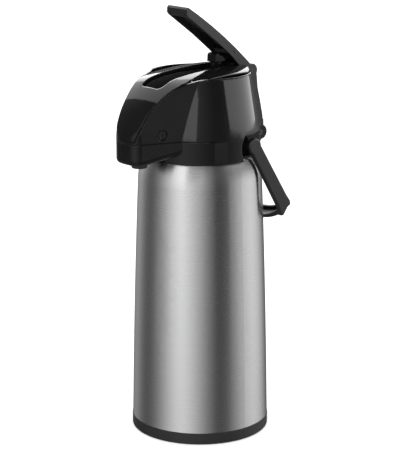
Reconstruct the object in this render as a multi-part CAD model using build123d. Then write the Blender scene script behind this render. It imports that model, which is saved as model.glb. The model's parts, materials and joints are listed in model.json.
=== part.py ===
from build123d import *
import math
import os

# Thermal coffee airpot: a steel vacuum body with a lever pump in a hinged head.
# Millimetres, +Z up, the spout points along -Y, the origin is the centre of the foot on the table.

# ---------------------------------------------------------------- driving dimensions
BASE_R = 70.0
BASE_TOP = 12.3
FOOT_RECESS = 0.5

BODY_FOOT_R = 69.6
BODY_MID_R = 66.85
BODY_SHOULDER_R = 62.5
BODY_SHOULDER_Z = 262.0
BODY_TOP_R = 57.2
BODY_TOP_Z = 286.0
BODY_WALL = 0.8
FLANGE_R = 50.0

LINER_R = 60.0
LINER_BOTTOM = 24.0
LINER_SHOULDER_Z = 246.0
LINER_TOP = 287.0
LINER_NECK_R = 27.5
OUTER_GLASS = 1.6
VACUUM_GAP = 2.0
INNER_GLASS = 1.4

PARTING_Z = 308.5
SEAM = 0.3
COLLAR_BOTTOM = 285.6
COLLAR_R = 60.6
COLLAR_WALL = 3.0
DECK_Z = 287.4
DECK_THICK = 2.6
MOUTH_R = 20.0
WELL_IN_R = 40.0
WELL_OUT_R = 43.0
WELL_TOP = 306.0

HEAD_FOOT_R = 61.0
HEAD_TOP_R = 51.5
HEAD_TOP_Z = 368.5
HEAD_WALL = 2.5
COVER_R = 48.7
COVER_THICK = 4.5
CROWN_R = 180.0
FRONT_STRIP_Z = 310.6
FLANGE_BACK = -44.0

BEAK_ROOT_Y = -30.0
BEAK_SIDE_X = 33.5
BEAK_SIDE_Y = -48.0
BEAK_TAPER = 0.354
BEAK_FRONT_Y = -98.2
BEAK_SHOULDER_Y = -96.2
BEAK_CORNER_R = 12.0
BEAK_WALL = 2.5
BEAK_LIP_Z = 286.8
BEAK_LIP_Y = -85.8
BEAK_RISE = 0.22
BEAK_LIP_R = 5.5

NOZZLE_Y = -78.5
NOZZLE_R = 7.75
NOZZLE_BOTTOM = 282.0
NOZZLE_SEAT = 289.6
DUCT_Z = 299.3
DUCT_BEND_R = 10.0

HINGE_Y = 71.0
HINGE_Z = 300.0
HINGE_PIN_R = 2.5
KNUCKLE_R = 7.5
SPINE_HALF = 10.0
CHEEK_OUT = 14.0

LEVER_Y = 56.5
LEVER_Z = 365.0
LEVER_HALF = 15.0
LEVER_WALL = 2.6
LEVER_PIN_R = 2.0
LEVER_EYE_R = 7.0
EYE_CORE_R = 5.2
LEVER_RIBS = 5
PUSH_Y = 31.2
PUSH_Z = 385.7
PUSH_R = 2.5
PUSH_PIN_R = 1.5

SLOT_HALF = 15.4
SLOT_FRONT = -64.4
SLOT_CORNER_R = 6.5
TRAY_FLOOR = 352.5
TRAY_WALL = 1.6
TRAY_BACK = 46.4

PUMP_Y = 21.0
PLATE_Z = 309.3
PLATE_THICK = 2.7
AIR_HOLE_R = 5.0
AIR_HOLE_Y = 8.0
BELLOWS_R = 29.5
BELLOWS_PLATE_Z = 346.5
BELLOWS_PLATE_THICK = 2.5
POST_R = 6.0

HANDLE_Y = 21.5
HANDLE_Z = 298.5
HANDLE_LEAN = 31.7
ARM_IN = 54.6
ARM_CORNER_R = 2.6
ARM_OUT = 59.0
ARM_HALF_WIDTH = 6.8
ARM_TOP_R = 8.0
GRIP_NEAR = 72.0
GRIP_BOW = 19.2
GRIP_DEPTH = 5.5
GRIP_WALL = 1.9
POCKET_R = 20.0
POCKET_FLOOR_X = 47.5
POCKET_WALL = 2.5
HANDLE_PIN_R = 3.0

RUN_FIT = 0.06

# The centre line of the top cover from its front lower end, over the spout and back across the head.
COVER_LINE = [
    (-98.4, 309.0),
    (-97.6, 315.0),
    (-95.2, 321.0),
    (-91.3, 328.0),
    (-87.0, 335.8),
    (-81.3, 343.5),
    (-74.3, 351.1),
    (-65.6, 358.8),
    (-54.0, 365.8),
    (-42.0, 369.0),
    (-20.0, 371.7),
    (0.0, 373.0),
    (27.0, 373.4),
    (52.0, 372.6),
]

# The top edge of the spout housing's side walls, which the cover's band stands on.
WALL_LINE = [
    (-94.6, 313.5),
    (-90.5, 322.5),
    (-86.7, 330.6),
    (-82.0, 338.2),
    (-76.2, 345.2),
    (-69.8, 351.6),
    (-61.8, 357.6),
    (-53.5, 362.1),
    (-44.0, 365.2),
    (-36.0, 367.0),
    (-27.0, 368.6),
]


# ---------------------------------------------------------------- helpers
def save(shape, name):
    export_step(shape, os.path.join("parts", name + ".step"))


def ring(r_in, r_out, z0, z1, x=0.0, y=0.0):
    height = z1 - z0
    body = Cylinder(r_out, height)
    if r_in > 0:
        body -= Cylinder(r_in, height * 2)
    return Pos(x, y, (z0 + z1) / 2) * body


def rod_x(radius, x0, x1, y, z):
    return Pos((x0 + x1) / 2, y, z) * Rot(0, 90, 0) * Cylinder(radius, x1 - x0)


def block(x0, x1, y0, y1, z0, z1):
    return Pos((x0 + x1) / 2, (y0 + y1) / 2, (z0 + z1) / 2) * Box(x1 - x0, y1 - y0, z1 - z0)


def lathe(points):
    outline = make_face(Polyline(*points, close=True))
    return revolve(Plane.XZ * outline, Axis.Z, 360)


def side_cut(outline, half_width):
    return extrude(Plane.YZ * outline, half_width, both=True)


def side_solid(points, half_width):
    return side_cut(make_face(Polyline(*points, close=True)), half_width)


def head_radius(z):
    share = (z - PARTING_Z) / (HEAD_TOP_Z - PARTING_Z)
    return HEAD_FOOT_R + share * (HEAD_TOP_R - HEAD_FOOT_R)


def head_cone(inset, z0, z1):
    low = head_radius(z0) - inset
    high = head_radius(z1) - inset
    return Pos(0, 0, z0) * Cone(low, high, z1 - z0, align=(Align.CENTER, Align.CENTER, Align.MIN))


def on_side(y):
    return BEAK_SIDE_X + BEAK_TAPER * (y - BEAK_SIDE_Y)


def beak_plan(inset, z0, z1):
    """The spout housing's outline in plan, as a prism."""
    step = inset * math.hypot(1, BEAK_TAPER)
    back = (on_side(BEAK_ROOT_Y) - step, BEAK_ROOT_Y)
    front_y = BEAK_SHOULDER_Y + inset
    front = (on_side(front_y) - step, front_y)
    right = Line(back, front)
    nose = ThreePointArc(front, (0, BEAK_FRONT_Y + inset), (-front[0], front[1]))
    left = Line((-front[0], front[1]), (-back[0], back[1]))
    closing = Line((-back[0], back[1]), back)
    face = make_face([right, nose, left, closing])
    corners = face.vertices().sort_by(Axis.Y)[:2]
    face = fillet(corners, max(BEAK_CORNER_R - inset, 1.0))
    return extrude(Pos(0, 0, z0) * face, z1 - z0)


def shifted(points, depth):
    """The same line moved inwards, at right angles to itself, by depth."""
    moved = []
    last = len(points) - 1
    for i in range(last + 1):
        before = points[max(i - 1, 0)]
        after = points[min(i + 1, last)]
        along = Vector(after[0] - before[0], after[1] - before[1]).normalized()
        moved.append((points[i][0] + along.Y * depth, points[i][1] - along.X * depth))
    return moved


def under_line(points, floor_z):
    """A wide block bounded above by a smooth line in side view."""
    top = Spline(*points)
    first = points[0]
    last = points[-1]
    rest = Polyline(last, (last[0], floor_z), (first[0], floor_z), first)
    return side_cut(make_face([top, rest]), 75)


def crowned(points):
    """A thick slab under the cover line, with its top arched from side to side."""
    half = 62.0
    drop = CROWN_R - math.sqrt(CROWN_R**2 - half**2)
    path = Spline(*[(0, y, z) for y, z in points])
    section_plane = Plane(origin=path @ 0, x_dir=(1, 0, 0), z_dir=path % 0)
    arch = ThreePointArc((-half, drop), (0, 0), (half, drop))
    skirt = Polyline((half, drop), (half, drop + 12), (-half, drop + 12), (-half, drop))
    return sweep(section_plane * make_face([arch, skirt]), path)


def screw(head_r, head_h, shank_r, length):
    """A cross-head screw with its head's top at z = 0 and its shank down -Z."""
    body = ring(0, head_r, -head_h, 0) + ring(0, shank_r, -length, -head_h)
    reach = head_r * 0.62
    for turn in (0, 90):
        body -= Rot(0, 0, turn) * block(-reach, reach, -0.5, 0.5, -head_h * 0.55, 1)
    return body


def around(count, start, shape_at):
    return [Rot(0, 0, start + 360 / count * i) * shape_at for i in range(count)]


# ---------------------------------------------------------------- body
def base_ring():
    r = BASE_R
    groove = ring(60.0, 65.0, -1, 2.5)
    outline = [
        (57.0, FOOT_RECESS), (r - 0.9, FOOT_RECESS), (r - 0.2, 1.1), (r, 2.2), (r, BASE_TOP - 0.4),
        (r - 0.4, BASE_TOP - 0.1), (68.4, BASE_TOP - 0.1), (68.4, 19.0), (66.6, 19.0), (66.6, 6.0), (57.0, 6.0),
    ]
    return lathe(outline) - groove


def foot_ring():
    return ring(60.0, 65.0, 0.0, 2.5)


def bottom_cap():
    disc = ring(0, 56.7, 3.0, 6.0) + ring(33.0, 36.0, 6.0, 16.0)
    for turn in (0, 90):
        disc += Rot(0, 0, turn) * block(-38, 38, -3, 3, 1.0, 3.0)
    return disc


def liner_cushion():
    return lathe([(10, 6.1), (32.8, 6.1), (32.8, 23.8), (16, 23.8), (10, 16)])


def steel_body():
    def skin(inset, flange_z):
        wall = ThreePointArc(
            (BODY_FOOT_R - inset, BASE_TOP),
            (BODY_MID_R - inset, (BASE_TOP + BODY_SHOULDER_Z) / 2),
            (BODY_SHOULDER_R - inset, BODY_SHOULDER_Z),
        )
        shoulder = TangentArc(
            (BODY_SHOULDER_R - inset, BODY_SHOULDER_Z), (BODY_TOP_R - inset, BODY_TOP_Z), tangent=wall % 1
        )
        rest = Polyline(
            (BODY_TOP_R - inset, BODY_TOP_Z), (BODY_TOP_R - inset - 0.8, flange_z),
            (0, flange_z), (0, BASE_TOP), (BODY_FOOT_R - inset, BASE_TOP),
        )
        return revolve(Plane.XZ * make_face([wall, shoulder, rest]), Axis.Z, 360)

    shell = skin(0, BODY_TOP_Z + 1.2) - skin(BODY_WALL, BODY_TOP_Z + 0.4)
    return shell - ring(0, FLANGE_R, BODY_TOP_Z - 5, BODY_TOP_Z + 5)


def bottle(radius, neck_r, bottom, shoulder_z, top):
    outline = Polyline(
        (0, bottom), (radius, bottom), (radius, shoulder_z), (neck_r, shoulder_z + 22), (neck_r, top), (0, top),
        close=True,
    )
    face = make_face(outline)
    foot = face.vertices().sort_by_distance((radius, bottom))[0]
    face = fillet(foot, 22)
    shoulder = face.vertices().sort_by_distance((radius, shoulder_z))[0]
    face = fillet(shoulder, 24)
    throat = face.vertices().sort_by_distance((neck_r, shoulder_z + 22))[0]
    face = fillet(throat, 6)
    return revolve(Plane.XZ * face, Axis.Z, 360)


def glass_liner():
    def layer(depth, top):
        neck = LINER_NECK_R - depth
        return bottle(LINER_R - depth, neck, LINER_BOTTOM + depth, LINER_SHOULDER_Z - depth * 0.5, top)

    inner = OUTER_GLASS + VACUUM_GAP
    gap = layer(OUTER_GLASS, LINER_TOP - 3) - layer(inner, LINER_TOP - 3)
    return layer(0, LINER_TOP) - layer(inner + INNER_GLASS, LINER_TOP + 1) - gap


def neck_support():
    body = ring(28.4, 53.0, 283.8, 286.3) + ring(44.0, 49.8, 286.3, 287.3)
    for hole in around(4, 45, ring(0, 1.25, 280, 290, x=47)):
        body -= hole
    return body


def neck_gasket():
    return ring(22.4, 28.0, 287.1, 289.3)


def collar_screws():
    one = Pos(47, 0, DECK_Z + DECK_THICK + 1.4) * screw(2.8, 1.4, 1.2, 7.0)
    return Compound(around(4, 45, one))


# ---------------------------------------------------------------- collar
def pocket_cut(side, top):
    """Space for one handle arm to swing beside the collar."""
    slab = block(POCKET_FLOOR_X, 70, HANDLE_Y - 40, HANDLE_Y + 40, 270, top)
    cut = rod_x(POCKET_R, POCKET_FLOOR_X, 70, HANDLE_Y, HANDLE_Z) & slab
    return cut if side > 0 else mirror(cut, Plane.YZ)


def pocket_lining(side):
    x_in = POCKET_FLOOR_X - POCKET_WALL
    lining = rod_x(POCKET_R + POCKET_WALL, x_in, 62, HANDLE_Y, HANDLE_Z)
    lining = lining & ring(0, COLLAR_R - 0.5, DECK_Z, PARTING_Z)
    return lining if side > 0 else mirror(lining, Plane.YZ)


def beak_under(offset):
    """Everything under the sloping bottom of the spout housing."""
    lip_z = BEAK_LIP_Z + offset
    rise_y = -35.0
    rise_z = lip_z + BEAK_RISE * (rise_y - BEAK_LIP_Y)
    return side_solid(
        [(-120, lip_z), (BEAK_LIP_Y, lip_z), (rise_y, rise_z), (rise_y, 250), (-120, 250)], 60
    )


def beak_tray_outer():
    tray = beak_plan(0, 270, PARTING_Z) - beak_under(0)
    low = []
    for edge in tray.edges():
        spot = edge @ 0.5
        if spot.Z < 301 and spot.Y < BEAK_ROOT_Y - 1 and edge.bounding_box().size.Z < 15:
            low.append(edge)
    rim = [edge for edge in low if abs(edge.center().X) > 1 or edge.center().Y < -90]
    return fillet(rim, BEAK_LIP_R)


def hinge_cheeks():
    outline = [
        (52, PARTING_Z - 2.5), (HINGE_Y, PARTING_Z - 1.0), (HINGE_Y, HINGE_Z - KNUCKLE_R),
        (HINGE_Y - 2, 289.0), (52, 289.0),
    ]
    body = side_solid(outline, CHEEK_OUT)
    body += rod_x(KNUCKLE_R, -CHEEK_OUT, CHEEK_OUT, HINGE_Y, HINGE_Z)
    return body - ring(0, COLLAR_R - 1.0, 270, 320)


def collar():
    body = ring(COLLAR_R - COLLAR_WALL, COLLAR_R, COLLAR_BOTTOM, PARTING_Z)
    tray = beak_tray_outer() - ring(0, COLLAR_R - COLLAR_WALL, 270, 320)
    inside = beak_plan(BEAK_WALL, 270, PARTING_Z + 5) - beak_under(BEAK_WALL)
    body += tray
    body += hinge_cheeks()
    body -= inside - ring(0, COLLAR_R, 270, DECK_Z + DECK_THICK + 3)
    body += ring(29.0, COLLAR_R - COLLAR_WALL + 0.5, DECK_Z, DECK_Z + DECK_THICK)
    body += ring(MOUTH_R, 30.0, 289.4, 292.0)
    body += ring(WELL_IN_R, WELL_OUT_R, DECK_Z + 1, WELL_TOP)
    for side in (1, -1):
        body += pocket_lining(side)
    for side in (1, -1):
        body -= pocket_cut(side, PARTING_Z + 5)
    knuckle_gap = rod_x(KNUCKLE_R + 0.6, -SPINE_HALF - 0.4, SPINE_HALF + 0.4, HINGE_Y, HINGE_Z)
    knuckle_gap += block(-SPINE_HALF - 0.4, SPINE_HALF + 0.4, 62.0, HINGE_Y + 20, HINGE_Z, 320)
    body -= knuckle_gap
    body -= rod_x(HINGE_PIN_R, -20, 20, HINGE_Y, HINGE_Z)
    body -= rod_x(HANDLE_PIN_R + 1, -POCKET_FLOOR_X - 1, POCKET_FLOOR_X + 1, HANDLE_Y, HANDLE_Z) - block(
        -40, 40, -100, 100, 200, 400
    )
    body += ring(0, 11.5, 287.5, NOZZLE_SEAT, y=NOZZLE_Y)
    body -= ring(0, 9.9, NOZZLE_SEAT, 300, y=NOZZLE_Y)
    body -= ring(0, NOZZLE_R + 0.1, 270, 300, y=NOZZLE_Y)
    body -= Pos(0, -54, DUCT_Z) * Rot(90, 0, 0) * Cylinder(5.8, 36)
    for hole in around(4, 45, ring(0, 1.5, 280, 300, x=47)):
        body -= hole
    return body


def hinge_pin():
    return rod_x(HINGE_PIN_R, -CHEEK_OUT, CHEEK_OUT, HINGE_Y, HINGE_Z)


def handle_pins():
    pins = []
    for side in (1, -1):
        pin = rod_x(HANDLE_PIN_R + 1, POCKET_FLOOR_X - POCKET_WALL - 2, POCKET_FLOOR_X, HANDLE_Y, HANDLE_Z)
        pin += rod_x(5.0, POCKET_FLOOR_X, ARM_IN - 0.3, HANDLE_Y, HANDLE_Z)
        pin += rod_x(HANDLE_PIN_R, ARM_IN - 0.3, ARM_OUT - 1.6, HANDLE_Y, HANDLE_Z)
        pins.append(pin if side > 0 else mirror(pin, Plane.YZ))
    return Compound(pins)


# ---------------------------------------------------------------- pouring path
def dip_tube():
    tube = ring(3.0, 4.0, 30.0, 291.0)
    return tube - Pos(0, 0, 28) * Rot(35, 0, 0) * Box(20, 20, 8)


def stem_head():
    hub = ring(0, 8.5, 289.0, 304.4)
    spout = Pos(0, -24, DUCT_Z) * Rot(90, 0, 0) * Cylinder(3.95, 48)
    one_leg = block(0, 27, -1.2, 1.2, 292.2, 296.0)
    body = hub + spout
    for leg in around(3, 30, one_leg):
        body += leg
    body -= ring(0, 4.05, 288.0, 291.0)
    body -= ring(0, 4.4, 291.0, 301.0)
    body -= Pos(0, -24, DUCT_Z) * Rot(90, 0, 0) * Cylinder(2.6, 50)
    return body


def valve_ball():
    radius = 3.6
    seat_r = 3.0
    return Pos(0, 0, 291.0 + math.sqrt(radius**2 - seat_r**2)) * Sphere(radius)


def spout_tube():
    top_y = -44.0
    bend_y = NOZZLE_Y + DUCT_BEND_R
    run = Line((0, top_y, DUCT_Z), (0, bend_y, DUCT_Z))
    bend = TangentArc((0, bend_y, DUCT_Z), (0, NOZZLE_Y, DUCT_Z - DUCT_BEND_R), tangent=(0, -1, 0))
    drop = Line((0, NOZZLE_Y, DUCT_Z - DUCT_BEND_R), (0, NOZZLE_Y, 286.0))
    path = Wire([run, bend, drop])
    start = Plane(origin=(0, top_y, DUCT_Z), x_dir=(1, 0, 0), z_dir=(0, -1, 0))
    outer = sweep(start * Circle(5.4), path)
    inner = sweep(start * Circle(4.0), path)
    return outer - inner


def nozzle():
    rim = NOZZLE_SEAT + 1.3
    body = lathe([
        (6.9, rim), (9.6, rim), (9.6, NOZZLE_SEAT + 0.1), (NOZZLE_R, NOZZLE_SEAT + 0.1),
        (NOZZLE_R, NOZZLE_BOTTOM + 0.6), (NOZZLE_R - 0.6, NOZZLE_BOTTOM), (6.4, NOZZLE_BOTTOM), (4.2, 284.4),
        (4.2, 285.9), (5.45, 285.9), (5.45, 288.6),
    ])
    return Pos(0, NOZZLE_Y, 0) * body


# ---------------------------------------------------------------- handle
def handle():
    lean = math.radians(HANDLE_LEAN)
    down = Vector(0, math.sin(lean), -math.cos(lean))
    back = Vector(0, math.cos(lean), math.sin(lean))
    pivot = Vector(0, HANDLE_Y, HANDLE_Z)

    def place(along, across):
        spot = pivot + down * along + back * across
        return (spot.Y, spot.Z)

    high_corner = (71.1, 235.3)
    low_corner = (61.7, 222.3)
    outline = [
        place(0, ARM_HALF_WIDTH), place(70, 8.0), high_corner, low_corner,
        (57.6, 221.4), place(GRIP_NEAR + 2, -7.4), place(0, -ARM_HALF_WIDTH),
    ]
    arm_face = make_face(Polyline(*outline, close=True))
    arm_face += Pos(HANDLE_Y, HANDLE_Z) * Circle(ARM_TOP_R)
    arm = Pos(ARM_IN, 0, 0) * extrude(Plane.YZ * arm_face, ARM_OUT - ARM_IN)
    arm = fillet(arm.edges().filter_by(Axis.X).sort_by(Axis.Z)[:4], ARM_CORNER_R)
    arm = fillet(arm.faces().sort_by(Axis.X)[-1].edges(), 1.6)

    high = Vector(0, *high_corner)
    low = Vector(0, *low_corner)
    middle = (high + low) * 0.5
    reach = Vector(ARM_OUT - 1.5, 0, 0)
    path = ThreePointArc(middle - reach, middle + down * GRIP_BOW, middle + reach)
    plane = Plane(origin=path @ 0, x_dir=back, z_dir=path % 0)
    side = 1 if plane.y_dir.dot(down) > 0 else -1
    half = (high - low).length / 2 - 0.4
    channel = Pos(0, -side * GRIP_DEPTH / 2) * Rectangle(half * 2, GRIP_DEPTH)
    channel = fillet([v for v in channel.vertices() if abs(v.Y) < 0.1], ARM_CORNER_R)
    channel -= Pos(0, -side * (GRIP_DEPTH / 2 + GRIP_WALL)) * Rectangle((half - GRIP_WALL) * 2, GRIP_DEPTH)
    grip = sweep(plane * channel, path)
    for x0, x1 in ((ARM_OUT - 0.2, 90), (-90, 0.2 - ARM_OUT)):
        grip -= block(x0, x1, 0, 120, 180, 300)
    body = grip + arm + mirror(arm, Plane.YZ)
    for one in both_sides(rod_x(HANDLE_PIN_R + RUN_FIT, ARM_IN - 1, ARM_OUT - 1.3, HANDLE_Y, HANDLE_Z)):
        body -= one
    return body


# ---------------------------------------------------------------- head
def side_screw_place(depth):
    """A plane on the spout housing's right wall, looking outwards."""
    y = -70.0
    out = Vector(1, -BEAK_TAPER, 0).normalized()
    spot = Vector(on_side(y), y, 316.5) - out * depth
    return Plane(origin=spot, x_dir=(0, 0, 1), z_dir=out)


def both_sides(shape):
    return [shape, mirror(shape, Plane.YZ)]


def above_walls(gap):
    """Everything above the top edge of the spout housing's side walls, less a gap."""
    points = [(y, z + gap) for y, z in WALL_LINE]
    start = (points[0][0] - 0.4, FRONT_STRIP_Z + gap)
    end = points[-1]
    top = Spline(start, *points)
    rest = Polyline(end, (end[0], 400), (-130, 400), (-130, start[1]), start)
    return side_cut(make_face([top, rest]), 75)


def lid_shell():
    foot = PARTING_Z + SEAM
    outer = head_cone(0, foot, HEAD_TOP_Z)
    outer = chamfer(outer.edges().sort_by(Axis.Z)[-1], 0.9)
    outer += beak_plan(0, foot, HEAD_TOP_Z) - block(-60, 60, -20, 40, 300, 400)
    inner = head_cone(HEAD_WALL, foot - 5, HEAD_TOP_Z + 5) + beak_plan(BEAK_WALL, foot - 5, HEAD_TOP_Z + 5)
    shell = outer - inner
    boss = ring(0, 4.5, PLATE_Z + PLATE_THICK + 0.1, 328.0, x=53.0)
    for one in around(4, 45, boss):
        shell += one & head_cone(0.8, foot, HEAD_TOP_Z)
    seat = extrude(side_screw_place(9.5) * Circle(6.6), 8.5)
    for one in both_sides(seat):
        shell += one & beak_plan(0.5, foot, 350)
    shell -= above_walls(0)
    for one in both_sides(extrude(side_screw_place(2.4) * Circle(5.0), 6)):
        shell -= one
    for one in both_sides(extrude(side_screw_place(10) * Circle(1.6), 10)):
        shell -= one
    for one in around(4, 45, ring(0, 1.5, 305, 322, x=53.0)):
        shell -= one
    shell -= block(-SLOT_HALF - 0.3, SLOT_HALF + 0.3, 40, 70, TRAY_FLOOR + 0.3, 380)
    for side in (1, -1):
        shell -= pocket_cut(side, PARTING_Z + 2.6)
    return shell


def lever_slot(half, grow, z0, z1):
    front = SLOT_FRONT - grow
    slot = Pos(0, (front + 80) / 2) * Rectangle(half * 2, 80 - front)
    corners = slot.vertices().sort_by(Axis.Y)[:2]
    return extrude(Pos(0, 0, z0) * fillet(corners, SLOT_CORNER_R + grow), z1 - z0)


def top_cover():
    plan = beak_plan(0.5, 300, 400) - block(-80, 80, FLANGE_BACK, 60, 250, 420)
    inner_plan = beak_plan(BEAK_WALL + SEAM, 300, 400) - block(-80, 80, -38, 60, 250, 420)
    inner_plan += ring(0, COVER_R, 300, 400)
    flange = (plan - inner_plan) & above_walls(SEAM)
    cover = crowned(COVER_LINE) & (inner_plan + flange)
    cover -= under_line(shifted(COVER_LINE, COVER_THICK), 280)
    cover -= block(-60, 60, -130, -60, 280, FRONT_STRIP_Z + SEAM)
    return cover - lever_slot(SLOT_HALF, 0, 340, 400)


def lever_tray():
    body = lever_slot(SLOT_HALF + TRAY_WALL, TRAY_WALL, TRAY_FLOOR - 2, 367.0)
    body -= block(-40, 40, TRAY_BACK, 100, 300, 400)
    body -= lever_slot(SLOT_HALF, 0, TRAY_FLOOR, 400)
    body = body & under_line(shifted(COVER_LINE, COVER_THICK + 0.6), 280)
    return body - ring(0, POST_R + 2.5, 340, 360, y=PUMP_Y)


def plunger_guide():
    return ring(POST_R + 0.3, POST_R + 2.4, TRAY_FLOOR - 2, TRAY_FLOOR + 2.5, y=PUMP_Y) + ring(
        POST_R + 0.3, POST_R + 5.0, TRAY_FLOOR + 0.1, TRAY_FLOOR + 1.2, y=PUMP_Y
    )


def rear_bracket():
    outline = [
        (50, 311.0), (HINGE_Y - KNUCKLE_R + 1, 309.4), (HINGE_Y, HINGE_Z - 1), (HINGE_Y + KNUCKLE_R - 0.2, HINGE_Z),
        (77.6, 312.0), (76.4, 313.2), (76.4, 316.0), (72.7, 332.0), (69.4, 345.0), (67.2, 364.5), (65.4, 367.8),
        (62.5, 368.6), (LEVER_Y + 2.5, 368.2), (LEVER_Y, LEVER_Z), (LEVER_Y - 2.0, 352.0), (50, 352.0),
    ]
    body = side_solid(outline, SPINE_HALF - 0.2)
    body += rod_x(KNUCKLE_R, -SPINE_HALF, SPINE_HALF, HINGE_Y, HINGE_Z)
    body += rod_x(EYE_CORE_R, -SPINE_HALF + 0.2, SPINE_HALF - 0.2, LEVER_Y, LEVER_Z)
    body -= head_cone(-0.05, 290, 380) - block(-20, 20, 56.0, 70, TRAY_FLOOR, 380) - block(
        -20, 20, 50, 70, LEVER_Z - 6.5, 380
    )
    body -= rod_x(HINGE_PIN_R + RUN_FIT, -20, 20, HINGE_Y, HINGE_Z)
    body -= rod_x(LEVER_PIN_R, -20, 20, LEVER_Y, LEVER_Z)
    return body


def side_screws():
    one = side_screw_place(0.9) * screw(4.2, 1.5, 1.5, 8.0)
    return Compound(both_sides(one))


def lid_plate():
    plate = ring(0, 55.0, PLATE_Z, PLATE_Z + PLATE_THICK) - ring(0, AIR_HOLE_R, 300, 320, y=AIR_HOLE_Y)
    for one in around(4, 45, ring(0, 1.6, 300, 320, x=53.0)):
        plate -= one
    plate -= block(-70, 70, 54.2, 80, 300, 330)
    return plate


def plate_screws():
    one = Pos(53.0, 0, PLATE_Z - 1.4) * Rot(180, 0, 0) * screw(2.9, 1.4, 1.5, 9.0)
    return Compound(around(4, 45, one))


def lid_gasket():
    return ring(37.8, 43.6, WELL_TOP + 0.3, PLATE_Z)


def bellows():
    low = PLATE_Z + PLATE_THICK
    high = BELLOWS_PLATE_Z
    folds = 5
    pitch = (high - low - 2) / folds
    wall = 1.2
    outside = [(BELLOWS_R - 4, low), (BELLOWS_R - 4, low + 1)]
    for i in range(folds):
        base = low + 1 + pitch * i
        outside += [(BELLOWS_R, base + pitch * 0.5), (BELLOWS_R - 4, base + pitch)]
    outside += [(BELLOWS_R - 4, high)]
    inside = [(r - wall, z) for r, z in reversed(outside)]
    return Pos(0, PUMP_Y, 0) * lathe(outside + inside)


def return_spring():
    low = PLATE_Z + PLATE_THICK + 1.0
    high = BELLOWS_PLATE_Z - 1.0
    path = Helix(pitch=(high - low) / 6, height=high - low, radius=10)
    section = Plane(origin=path @ 0, z_dir=path % 0) * Circle(0.8)
    return Pos(0, PUMP_Y, low) * sweep(section, path)


def plunger():
    plate_top = BELLOWS_PLATE_Z + BELLOWS_PLATE_THICK
    pad_top = PUSH_Z - PUSH_R - SEAM
    front = PUMP_Y - POST_R
    back = PUMP_Y + POST_R
    body = ring(0, BELLOWS_R - 3, BELLOWS_PLATE_Z, plate_top, y=PUMP_Y)
    body += ring(0, POST_R, plate_top, pad_top - 3, y=PUMP_Y)
    head = [
        (front, pad_top - 6.4), (front + 0.5, pad_top + 0.6), (front + 2, pad_top + 2.0), (back - 7.0, pad_top + 2.0),
        (back - 6.2, pad_top), (PUSH_Y + 3, pad_top), (PUSH_Y + 3, pad_top - 2.8), (back, pad_top - 6.0),
        (back, pad_top - 6.4),
    ]
    body += side_solid(head, 6.5)
    return body


# ---------------------------------------------------------------- lever
def lever():
    top = ThreePointArc((LEVER_Y - 2.2, LEVER_Z + 7.0), (12.2, 407.8), (-27.7, 435.3))
    rest = Polyline(
        (-27.7, 435.3), (-29.7, 433.3), (-29.9, 428.7), (-28.3, 426.5), (3.7, 403.2), (26.3, 385.0),
        (LEVER_Y - 5, LEVER_Z - 4.6), (LEVER_Y, LEVER_Z), (LEVER_Y - 2.2, LEVER_Z + 7.0),
    )
    outline = make_face([top, rest])
    body = side_cut(outline, LEVER_HALF)
    body += rod_x(LEVER_EYE_R, -LEVER_HALF, LEVER_HALF, LEVER_Y, LEVER_Z)

    roof = ThreePointArc(
        (LEVER_Y - 4.4, LEVER_Z + 5.0), (12.2 - 1.5, 407.8 - 1.9), (-26.7, 431.9)
    )
    under = Polyline(
        (-26.7, 431.9), (-27.1, 420.7), (3.3, 380.7), (LEVER_Y - 10, 340.0), (LEVER_Y + 12, 345.0),
        (LEVER_Y + 12, LEVER_Z + 4.0), (LEVER_Y - 4.4, LEVER_Z + 5.0),
    )
    channel = side_cut(make_face([roof, under]), LEVER_HALF - LEVER_WALL)
    body -= channel
    gap = LEVER_HALF - LEVER_WALL
    body -= rod_x(EYE_CORE_R + 0.5, -gap, gap, LEVER_Y, LEVER_Z)
    body -= block(-gap, gap, LEVER_Y - 1.0, LEVER_Y + 10, LEVER_Z - 10, LEVER_Z + 10)
    for i in range(LEVER_RIBS):
        y = -20.0 + 6.4 * i
        z = 426.6 - 4.5 * i
        rib = Pos(0, y, z) * Rot(45, 0, 0) * Box(LEVER_HALF * 2 - 2, 1.0, 6.0)
        body += rib & side_cut(outline, LEVER_HALF)
    body -= rod_x(LEVER_PIN_R + RUN_FIT, -20, 20, LEVER_Y, LEVER_Z)
    body -= rod_x(PUSH_PIN_R, -20, 20, PUSH_Y, PUSH_Z)
    return body


def lever_pin():
    return rod_x(LEVER_PIN_R, -LEVER_HALF, LEVER_HALF, LEVER_Y, LEVER_Z)


def push_pin():
    return rod_x(PUSH_PIN_R, -LEVER_HALF + 0.5, LEVER_HALF - 0.5, PUSH_Y, PUSH_Z)


def push_roller():
    half = LEVER_HALF - LEVER_WALL - 0.4
    return rod_x(PUSH_R, -half, half, PUSH_Y, PUSH_Z) - rod_x(PUSH_PIN_R, -half - 1, half + 1, PUSH_Y, PUSH_Z)


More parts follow.
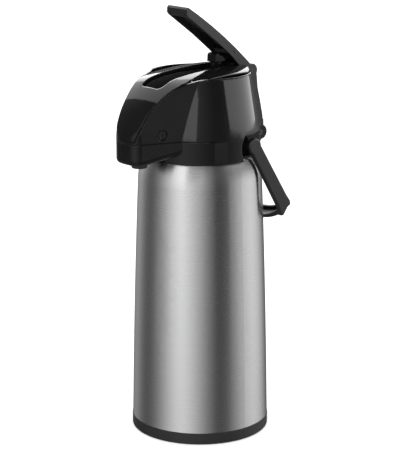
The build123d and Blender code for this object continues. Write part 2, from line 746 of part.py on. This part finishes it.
PARTS = {
    "base_ring": base_ring,
    "foot_ring": foot_ring,
    "bottom_cap": bottom_cap,
    "liner_cushion": liner_cushion,
    "steel_body": steel_body,
    "glass_liner": glass_liner,
    "neck_support": neck_support,
    "neck_gasket": neck_gasket,
    "collar": collar,
    "collar_screws": collar_screws,
    "lid_hinge_pin": hinge_pin,
    "handle_pins": handle_pins,
    "dip_tube": dip_tube,
    "stem_head": stem_head,
    "valve_ball": valve_ball,
    "spout_tube": spout_tube,
    "spout_nozzle": nozzle,
    "handle": handle,
    "lid_shell": lid_shell,
    "top_cover": top_cover,
    "lever_tray": lever_tray,
    "plunger_guide": plunger_guide,
    "rear_bracket": rear_bracket,
    "side_screws": side_screws,
    "lid_plate": lid_plate,
    "plate_screws": plate_screws,
    "lid_gasket": lid_gasket,
    "bellows": bellows,
    "return_spring": return_spring,
    "plunger": plunger,
    "lever": lever,
    "lever_pivot_pin": lever_pin,
    "push_pin": push_pin,
    "push_roller": push_roller,
}

os.makedirs("parts", exist_ok=True)
for name, build in PARTS.items():
    save(build(), name)
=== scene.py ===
import json
import math

import bpy
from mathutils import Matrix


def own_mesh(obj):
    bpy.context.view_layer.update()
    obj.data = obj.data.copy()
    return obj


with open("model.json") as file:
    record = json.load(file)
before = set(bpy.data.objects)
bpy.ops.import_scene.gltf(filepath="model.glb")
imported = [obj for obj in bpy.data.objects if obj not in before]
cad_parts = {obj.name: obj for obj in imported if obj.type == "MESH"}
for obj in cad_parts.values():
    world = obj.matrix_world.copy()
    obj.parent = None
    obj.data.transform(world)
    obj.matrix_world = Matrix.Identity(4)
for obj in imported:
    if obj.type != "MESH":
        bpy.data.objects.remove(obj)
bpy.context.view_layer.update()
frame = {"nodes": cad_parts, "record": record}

# ---------------------------------------------------------------- sizes and tones

# Metres, degrees and millimetres.
CAMERA_PLACE = (1.3049, -1.1343, 0.656)
CAMERA_TURN = (75.45, 0.0, 49.0)
CAMERA_LENS = 138.6
SENSOR_WIDTH = 36.0
NEAREST_SEEN = 0.01

FLOOR_SIZE = 12.0
FLOOR_TONE = 0.92
FLOOR_GLOW = 0.35  # it lifts the contact shadow to white

BEVEL_SAMPLES = 6

MM = 0.001

# The studio's soft bands of light, by compass angle round the object (degrees) and brightness.
# They are what the brushed body reflects: a wide key band, a fill band and a thin rim band.
STUDIO_BANDS = [
    (-180.0, 0.50),
    (-168.0, 0.34),
    (-152.0, 0.07),
    (-130.0, 0.07),
    (-103.0, 0.72),
    (-74.0, 1.85),
    (-46.0, 0.87),
    (-20.0, 0.06),
    (-3.0, 0.02),
    (14.0, 0.16),
    (42.0, 1.10),
    (66.0, 1.62),
    (92.0, 0.80),
    (112.0, 0.05),
    (140.0, 0.05),
    (160.0, 0.36),
    (180.0, 0.50),
]

# How the bands dim towards the floor and towards the zenith, by the direction's slope.
BANDS_BY_SLOPE = [
    (-0.45, 0.35),
    (-0.30, 0.52),
    (-0.20, 0.76),
    (-0.08, 1.0),
    (0.55, 1.0),
    (0.80, 0.25),
    (1.0, 0.15),
]

# A colour ramp holds tones up to 1, so it holds the bands as shares of this brightness.
BRIGHTEST_BAND = 2.0

# The haze added to the bands in reflections, and the even white that lights matt surfaces.
AMBIENT = 0.05
FILL_LIGHT = 1.22

# Softboxes that every part reflects except the steel body. Each is a sheet curved round the object:
# its lower edge and upper edge as (compass, height) ends, its distance and its brightness.
SOFTBOXES = {
    "key box": (((-70.0, 0.42), (-48.0, 0.42)), ((-64.0, 0.62), (-38.0, 0.62)), 1.1, 4.2),
    "upper key box": (((-66.0, 0.85), (-22.0, 0.85)), ((-66.0, 1.5), (-22.0, 1.5)), 1.1, 5.0),
    "fill box": (((17.0, 0.40), (92.0, 0.24)), ((-4.0, 0.66), (96.0, 0.85)), 1.1, 4.6),
    "low side box": (((-14.0, 0.05), (12.0, 0.05)), ((-14.0, 0.24), (12.0, 0.24)), 1.1, 0.6),
    "back box": (((118.0, 0.62), (166.0, 0.62)), ((118.0, 1.9), (166.0, 1.9)), 1.3, 5.0),
}
SOFTBOX_STRIPS = 16

# A flat sheet overhead, seen in the top cover: its corners in plan, height and brightness.
CEILING_BOX = [(-0.55, -0.50), (-2.60, -0.05), (-2.60, 1.6), (-0.55, 1.6)]
CEILING_HEIGHT = 1.25
CEILING_BRIGHTNESS = 2.4


# ---------------------------------------------------------------- node helpers


def add(tree, kind, inputs=None, **settings):
    """Adds a shader node. inputs holds values, or output sockets to link."""
    made = tree.nodes.new(kind)
    for key, value in settings.items():
        setattr(made, key, value)
    for key, value in (inputs or {}).items():
        if isinstance(value, bpy.types.NodeSocket):
            tree.links.new(value, made.inputs[key])
        else:
            made.inputs[key].default_value = value
    return made


def ramp(tree, factor, stops, interpolation="LINEAR"):
    """A ColorRamp with grey or coloured stops, as (place, tone)."""
    made = add(tree, "ShaderNodeValToRGB", {"Fac": factor})
    made.color_ramp.interpolation = interpolation
    elements = made.color_ramp.elements
    while len(elements) < len(stops):
        elements.new(0.5)
    for element, (place, tone) in zip(elements, stops):
        element.position = place
        colour = (tone, tone, tone) if isinstance(tone, float) else tone
        element.color = (*colour, 1.0)
    return made.outputs["Color"]


def spread(tree, factor, low, high, from_min=0.0, from_max=1.0):
    """Maps a 0..1 factor to a range."""
    made = add(
        tree,
        "ShaderNodeMapRange",
        {"Value": factor, "From Min": from_min, "From Max": from_max, "To Min": low, "To Max": high},
    )
    return made.outputs["Result"]


def noise(tree, place, scale, detail=2.0, roughness=0.5):
    """Noise in object space. scale is in features per metre, per axis if it is a triple."""
    if isinstance(scale, tuple):
        place = add(tree, "ShaderNodeMapping", {"Vector": place, "Scale": scale}).outputs["Vector"]
        scale = 1.0
    made = add(
        tree,
        "ShaderNodeTexNoise",
        {"Vector": place, "Scale": scale, "Detail": detail, "Roughness": roughness},
    )
    return made.outputs["Fac"]


def total(tree, first, second):
    """The sum of two values or sockets."""
    return add(tree, "ShaderNodeMath", {0: first, 1: second}, operation="ADD").outputs["Value"]


def scaled(tone, gain):
    """The colour made lighter or darker, but no lighter than white."""
    return tuple(min(1.0, channel * gain) for channel in tone)


def mottle(tree, shader, factor, dark, light, low=0.3, high=0.7):
    """Base colour that goes from dark to light as the factor goes from low to high."""
    tree.links.new(ramp(tree, factor, [(low, dark), (high, light)]), shader.inputs["Base Color"])


def softened(tree, radius):
    """The surface normal with its edges rounded off, for light only."""
    return add(tree, "ShaderNodeBevel", {"Radius": radius}, samples=BEVEL_SAMPLES).outputs["Normal"]


def relief(tree, shader, height, strength, depth, normal=None):
    """Bump from a height factor, depth in metres, over a softened normal if one is given."""
    bump = add(tree, "ShaderNodeBump", {"Height": height, "Strength": strength, "Distance": depth})
    if normal is not None:
        tree.links.new(normal, bump.inputs["Normal"])
    tree.links.new(bump.outputs["Normal"], shader.inputs["Normal"])


def start(name, **shader_values):
    """A new material: its tree, its shader and the object-space place."""
    material = bpy.data.materials.new(name)
    material.use_nodes = True
    tree = material.node_tree
    shader = tree.nodes["Principled BSDF"]
    for key, value in shader_values.items():
        shader.inputs[key.replace("_", " ")].default_value = value
    place = add(tree, "ShaderNodeTexCoord").outputs["Object"]
    return material, tree, shader, place


def wear_mask(tree, radius):
    """0 on flat areas, 1 on edges that hands and cloths rub."""
    plain = add(tree, "ShaderNodeNewGeometry").outputs["Normal"]
    likeness = add(
        tree, "ShaderNodeVectorMath", {0: softened(tree, radius), 1: plain}, operation="DOT_PRODUCT"
    )
    return spread(tree, likeness.outputs["Value"], 1.0, 0.0, 0.75, 0.985)


# ---------------------------------------------------------------- materials


def brushed_steel(name, tone, grain, roughness):
    """Satin stainless: fine brush lines around the axis, streaks and faint handling marks."""
    material, tree, shader, place = start(name, Metallic=1.0, Anisotropic=0.9, Anisotropic_Rotation=0.25)
    lines = noise(tree, place, (22.0, 22.0, grain), 3.0, 0.65)
    streaks = noise(tree, place, (6.0, 6.0, grain * 0.14), 2.0)
    smudges = noise(tree, place, 14.0, 3.0, 0.6)
    brushed = spread(tree, total(tree, lines, streaks), 0.0, 1.0, 0.6, 1.4)
    mottle(tree, shader, brushed, scaled(tone, 0.985), scaled(tone, 1.01), 0.0, 1.0)
    polish = total(tree, spread(tree, lines, -0.012, 0.012), spread(tree, smudges, -0.012, 0.012))
    tree.links.new(total(tree, polish, roughness), shader.inputs["Roughness"])
    tangent = add(tree, "ShaderNodeTangent", direction_type="RADIAL", axis="Z")
    tree.links.new(tangent.outputs["Tangent"], shader.inputs["Tangent"])
    relief(tree, shader, lines, 0.004, 0.02 * MM)
    return material


def gloss_plastic(name, tone, roughness, edge=1.4):
    """Injection-moulded gloss plastic: slight ripple, faint wipe marks, softened edges."""
    material, tree, shader, place = start(name, Specular_IOR_Level=0.2)
    cloud = noise(tree, place, 35.0, 3.0)
    swirl = noise(tree, place, 420.0, 2.0)
    wipes = noise(tree, place, (30.0, 240.0, 240.0), 2.0)
    mottle(tree, shader, cloud, scaled(tone, 0.85), scaled(tone, 1.12))
    marks = add(tree, "ShaderNodeMath", {0: wipes, 1: swirl}, operation="MULTIPLY").outputs["Value"]
    wiped = spread(tree, marks, roughness * 0.7, roughness * 1.5, 0.1, 0.45)
    tree.links.new(wiped, shader.inputs["Roughness"])
    ripple = noise(tree, place, 60.0, 1.0)
    relief(tree, shader, ripple, 0.10, 0.06 * MM, softened(tree, edge * MM))
    return material


def grained_plastic(name, tone, roughness, grain, depth, specular, edge=0.5, worn=1.7):
    """Spark-grained satin plastic: fine pebble, mottled tone, edges rubbed a little smoother and lighter."""
    material, tree, shader, place = start(name, Specular_IOR_Level=specular)
    pebble = noise(tree, place, grain, 3.0, 0.6)
    cloud = noise(tree, place, 28.0, 3.0, 0.6)
    base = ramp(tree, cloud, [(0.3, scaled(tone, 0.86)), (0.7, scaled(tone, 1.14))])
    rubbed = wear_mask(tree, edge * MM)
    mix = add(tree, "ShaderNodeMix", {0: rubbed, 6: base, 7: (*scaled(tone, worn), 1.0)}, data_type="RGBA")
    tree.links.new(mix.outputs[2], shader.inputs["Base Color"])
    worn_rough = spread(tree, rubbed, 0.0, -0.10)
    grain_rough = spread(tree, pebble, roughness - 0.05, roughness + 0.05, 0.3, 0.7)
    tree.links.new(total(tree, worn_rough, grain_rough), shader.inputs["Roughness"])
    relief(tree, shader, pebble, 0.5, depth * MM, softened(tree, edge * MM))
    return material


def plated_metal(name, tone, roughness, scratch=600.0):
    """Plated or blackened small parts: fine drawing lines and a slightly uneven polish."""
    material, tree, shader, place = start(name, Metallic=1.0)
    lines = noise(tree, place, (scratch, scratch, 60.0), 2.0)
    cloud = noise(tree, place, 90.0, 3.0)
    mottle(tree, shader, cloud, scaled(tone, 0.9), scaled(tone, 1.08), 0.3, 0.75)
    drawn = spread(tree, lines, roughness * 0.6, roughness * 1.5, 0.3, 0.7)
    tree.links.new(drawn, shader.inputs["Roughness"])
    relief(tree, shader, lines, 0.25, 0.02 * MM, softened(tree, 0.25 * MM))
    return material


def soft_rubber(name, tone, roughness, grain=900.0):
    """Moulded rubber or silicone: fine bloom, dusty in patches."""
    material, tree, shader, place = start(
        name, Specular_IOR_Level=0.3, Sheen_Weight=0.15, Sheen_Roughness=0.5
    )
    bloom = noise(tree, place, 45.0, 4.0, 0.65)
    fine = noise(tree, place, grain, 2.0)
    mottle(tree, shader, bloom, scaled(tone, 0.82), scaled(tone, 1.2), 0.3, 0.75)
    dusty = spread(tree, fine, roughness - 0.06, roughness + 0.06, 0.3, 0.7)
    tree.links.new(dusty, shader.inputs["Roughness"])
    relief(tree, shader, fine, 0.35, 0.05 * MM)
    return material


def silvered_glass(name):
    """The vacuum liner: thin glass silvered on the inside of its gap, so it looks like a cloudy mirror."""
    material, tree, shader, place = start(name, Metallic=0.85, Coat_Weight=0.6, Coat_Roughness=0.03)
    cloud = noise(tree, place, 24.0, 4.0, 0.6)
    drips = noise(tree, place, (90.0, 90.0, 12.0), 2.0)
    mottle(tree, shader, cloud, (0.66, 0.68, 0.68), (0.82, 0.83, 0.82))
    tree.links.new(spread(tree, drips, 0.08, 0.22, 0.3, 0.7), shader.inputs["Roughness"])
    return material


def milky_plastic(name):
    """Translucent food-grade polypropylene, for the dip tube and the stem head."""
    material, tree, shader, place = start(
        name, Specular_IOR_Level=0.45, Subsurface_Weight=0.25, Subsurface_Scale=0.004
    )
    cloud = noise(tree, place, 60.0, 3.0)
    fine = noise(tree, place, 700.0, 2.0)
    mottle(tree, shader, cloud, (0.70, 0.70, 0.66), (0.80, 0.80, 0.77))
    tree.links.new(spread(tree, fine, 0.22, 0.36, 0.3, 0.7), shader.inputs["Roughness"])
    relief(tree, shader, fine, 0.2, 0.03 * MM)
    return material


def make_materials():
    """One finished material for each material slot in the record."""
    return {
        "steel": brushed_steel("satin stainless", (0.62, 0.62, 0.625), grain=2600.0, roughness=0.27),
        "gloss_black": gloss_plastic("gloss black plastic", (0.0062, 0.0062, 0.0065), 0.06),
        "satin_black": grained_plastic(
            "satin black plastic", (0.010, 0.010, 0.0104), 0.38, grain=1500.0, depth=0.05, specular=0.3
        ),
        "dark_plastic": grained_plastic(
            "matt dark plastic", (0.0155, 0.0155, 0.0162), 0.5, grain=1100.0, depth=0.06, specular=0.3
        ),
        "rubber": soft_rubber("black rubber", (0.018, 0.018, 0.018), 0.65),
        "silicone": soft_rubber("pale silicone", (0.60, 0.60, 0.57), 0.5),
        "glass": silvered_glass("silvered glass"),
        "clear_plastic": milky_plastic("milky plastic"),
        "plated": plated_metal("bright plated steel", (0.70, 0.70, 0.70), 0.18),
        "dark_steel": plated_metal("blackened steel", (0.05, 0.05, 0.052), 0.35),
    }


def dress(frame):
    """Gives every CAD node the material of its slot."""
    materials = make_materials()
    for subpart in frame["record"]["subparts"]:
        mesh = frame["nodes"][subpart["node"]].data
        mesh.materials.clear()
        mesh.materials.append(materials[subpart["material_slot"]])


def let_pump_fold(frame):
    """Gives the bellows and its spring each a mesh of their own; they are the parts that shorten on the
    lid's plate as the plunger goes down.
    """
    for name in ("bellows", "return_spring"):
        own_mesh(frame["nodes"][name])


# ---------------------------------------------------------------- studio


def make_camera():
    camera = bpy.data.objects.new("camera", bpy.data.cameras.new("camera"))
    camera.location = CAMERA_PLACE
    camera.rotation_euler = [math.radians(a) for a in CAMERA_TURN]
    camera.data.lens = CAMERA_LENS
    camera.data.sensor_width = SENSOR_WIDTH
    camera.data.clip_start = NEAREST_SEEN
    bpy.context.scene.collection.objects.link(camera)
    bpy.context.scene.camera = camera


def make_floor():
    half = FLOOR_SIZE / 2
    mesh = bpy.data.meshes.new("floor")
    corners = [(-half, -half, 0), (half, -half, 0), (half, half, 0), (-half, half, 0)]
    mesh.from_pydata(corners, [], [(0, 1, 2, 3)])
    floor = bpy.data.objects.new("floor", mesh)
    bpy.context.scene.collection.objects.link(floor)
    floor.visible_glossy = False
    material, tree, shader, place = start("floor", Specular_IOR_Level=0.0, Roughness=1.0)
    shade = ramp(tree, noise(tree, place, 3.0), [(0.0, FLOOR_TONE * 0.995), (1.0, FLOOR_TONE)])
    tree.links.new(shade, shader.inputs["Base Color"])
    shader.inputs["Emission Color"].default_value = (1.0, 1.0, 1.0, 1.0)
    shader.inputs["Emission Strength"].default_value = FLOOR_GLOW
    mesh.materials.append(material)


def make_world():
    """White for the camera and for soft fill; soft bands of light and dark for reflections."""
    world = bpy.data.worlds.new("studio")
    world.use_nodes = True
    bpy.context.scene.world = world
    tree = world.node_tree
    out = tree.nodes["World Output"]
    direction = add(tree, "ShaderNodeTexCoord").outputs["Generated"]
    split = add(tree, "ShaderNodeSeparateXYZ", {"Vector": direction})
    compass = add(
        tree, "ShaderNodeMath", {0: split.outputs["Y"], 1: split.outputs["X"]}, operation="ARCTAN2"
    ).outputs["Value"]
    around = spread(tree, compass, 0.0, 1.0, -math.pi, math.pi)
    stops = [((angle + 180.0) / 360.0, tone / BRIGHTEST_BAND) for angle, tone in STUDIO_BANDS]
    bands = ramp(tree, around, stops, "B_SPLINE")
    height = spread(tree, split.outputs["Z"], 0.0, 1.0, -1.0, 1.0)
    gain = ramp(tree, height, [((slope + 1.0) / 2.0, tone) for slope, tone in BANDS_BY_SLOPE], "EASE")
    lit = add(tree, "ShaderNodeMix", {0: 1.0, 6: bands, 7: gain}, data_type="RGBA", blend_type="MULTIPLY")
    haze = AMBIENT / BRIGHTEST_BAND
    glossy = add(
        tree,
        "ShaderNodeMix",
        {0: 1.0, 6: lit.outputs[2], 7: (haze, haze, haze, 1.0)},
        data_type="RGBA",
        blend_type="ADD",
    )
    reflected = add(tree, "ShaderNodeBackground", {"Color": glossy.outputs[2], "Strength": BRIGHTEST_BAND})
    plain = add(tree, "ShaderNodeBackground", {"Color": (1.0, 1.0, 1.0, 1.0), "Strength": FILL_LIGHT})
    is_glossy = add(tree, "ShaderNodeLightPath").outputs["Is Glossy Ray"]
    choose = add(
        tree,
        "ShaderNodeMixShader",
        {0: is_glossy, 1: plain.outputs["Background"], 2: reflected.outputs["Background"]},
    )
    tree.links.new(choose.outputs["Shader"], out.inputs["Surface"])


def curved_sheet(lower, upper, distance):
    """Corners of strips between two edges given as (compass, height) ends."""
    points = []
    for i in range(SOFTBOX_STRIPS + 1):
        share = i / SOFTBOX_STRIPS
        for start_end in (lower, upper):
            (compass_a, height_a), (compass_b, height_b) = start_end
            angle = math.radians(compass_a + (compass_b - compass_a) * share)
            height = height_a + (height_b - height_a) * share
            points.append((distance * math.cos(angle), distance * math.sin(angle), height))
    strips = [(2 * i, 2 * i + 2, 2 * i + 3, 2 * i + 1) for i in range(SOFTBOX_STRIPS)]
    return points, strips


def softbox(name, points, faces, brightness, receivers):
    """A glowing sheet that shows only in the reflections of the receivers."""
    mesh = bpy.data.meshes.new(name)
    mesh.from_pydata(points, [], faces)
    panel = bpy.data.objects.new(name, mesh)
    bpy.context.scene.collection.objects.link(panel)
    material = bpy.data.materials.new(name)
    material.use_nodes = True
    tree = material.node_tree
    tree.nodes.remove(tree.nodes["Principled BSDF"])
    glow = add(tree, "ShaderNodeEmission", {"Color": (1.0, 1.0, 1.0, 1.0), "Strength": brightness})
    tree.links.new(glow.outputs["Emission"], tree.nodes["Material Output"].inputs["Surface"])
    mesh.materials.append(material)
    panel.visible_camera = False
    panel.visible_diffuse = False
    panel.visible_shadow = False
    panel.light_linking.receiver_collection = receivers


def make_lights(frame):
    receivers = bpy.data.collections.new("all but the steel body")
    for name, node in frame["nodes"].items():
        if name != "steel_body":
            receivers.objects.link(node)
    for name, (lower, upper, distance, brightness) in SOFTBOXES.items():
        points, strips = curved_sheet(lower, upper, distance)
        softbox(name, points, strips, brightness, receivers)
    ceiling = [(x, y, CEILING_HEIGHT) for x, y in CEILING_BOX]
    softbox("ceiling box", ceiling, [(0, 1, 2, 3)], CEILING_BRIGHTNESS, receivers)


# ---------------------------------------------------------------- build

bpy.context.scene.view_settings.view_transform = "Standard"
dress(frame)
let_pump_fold(frame)
make_camera()
make_floor()
make_world()
make_lights(frame)
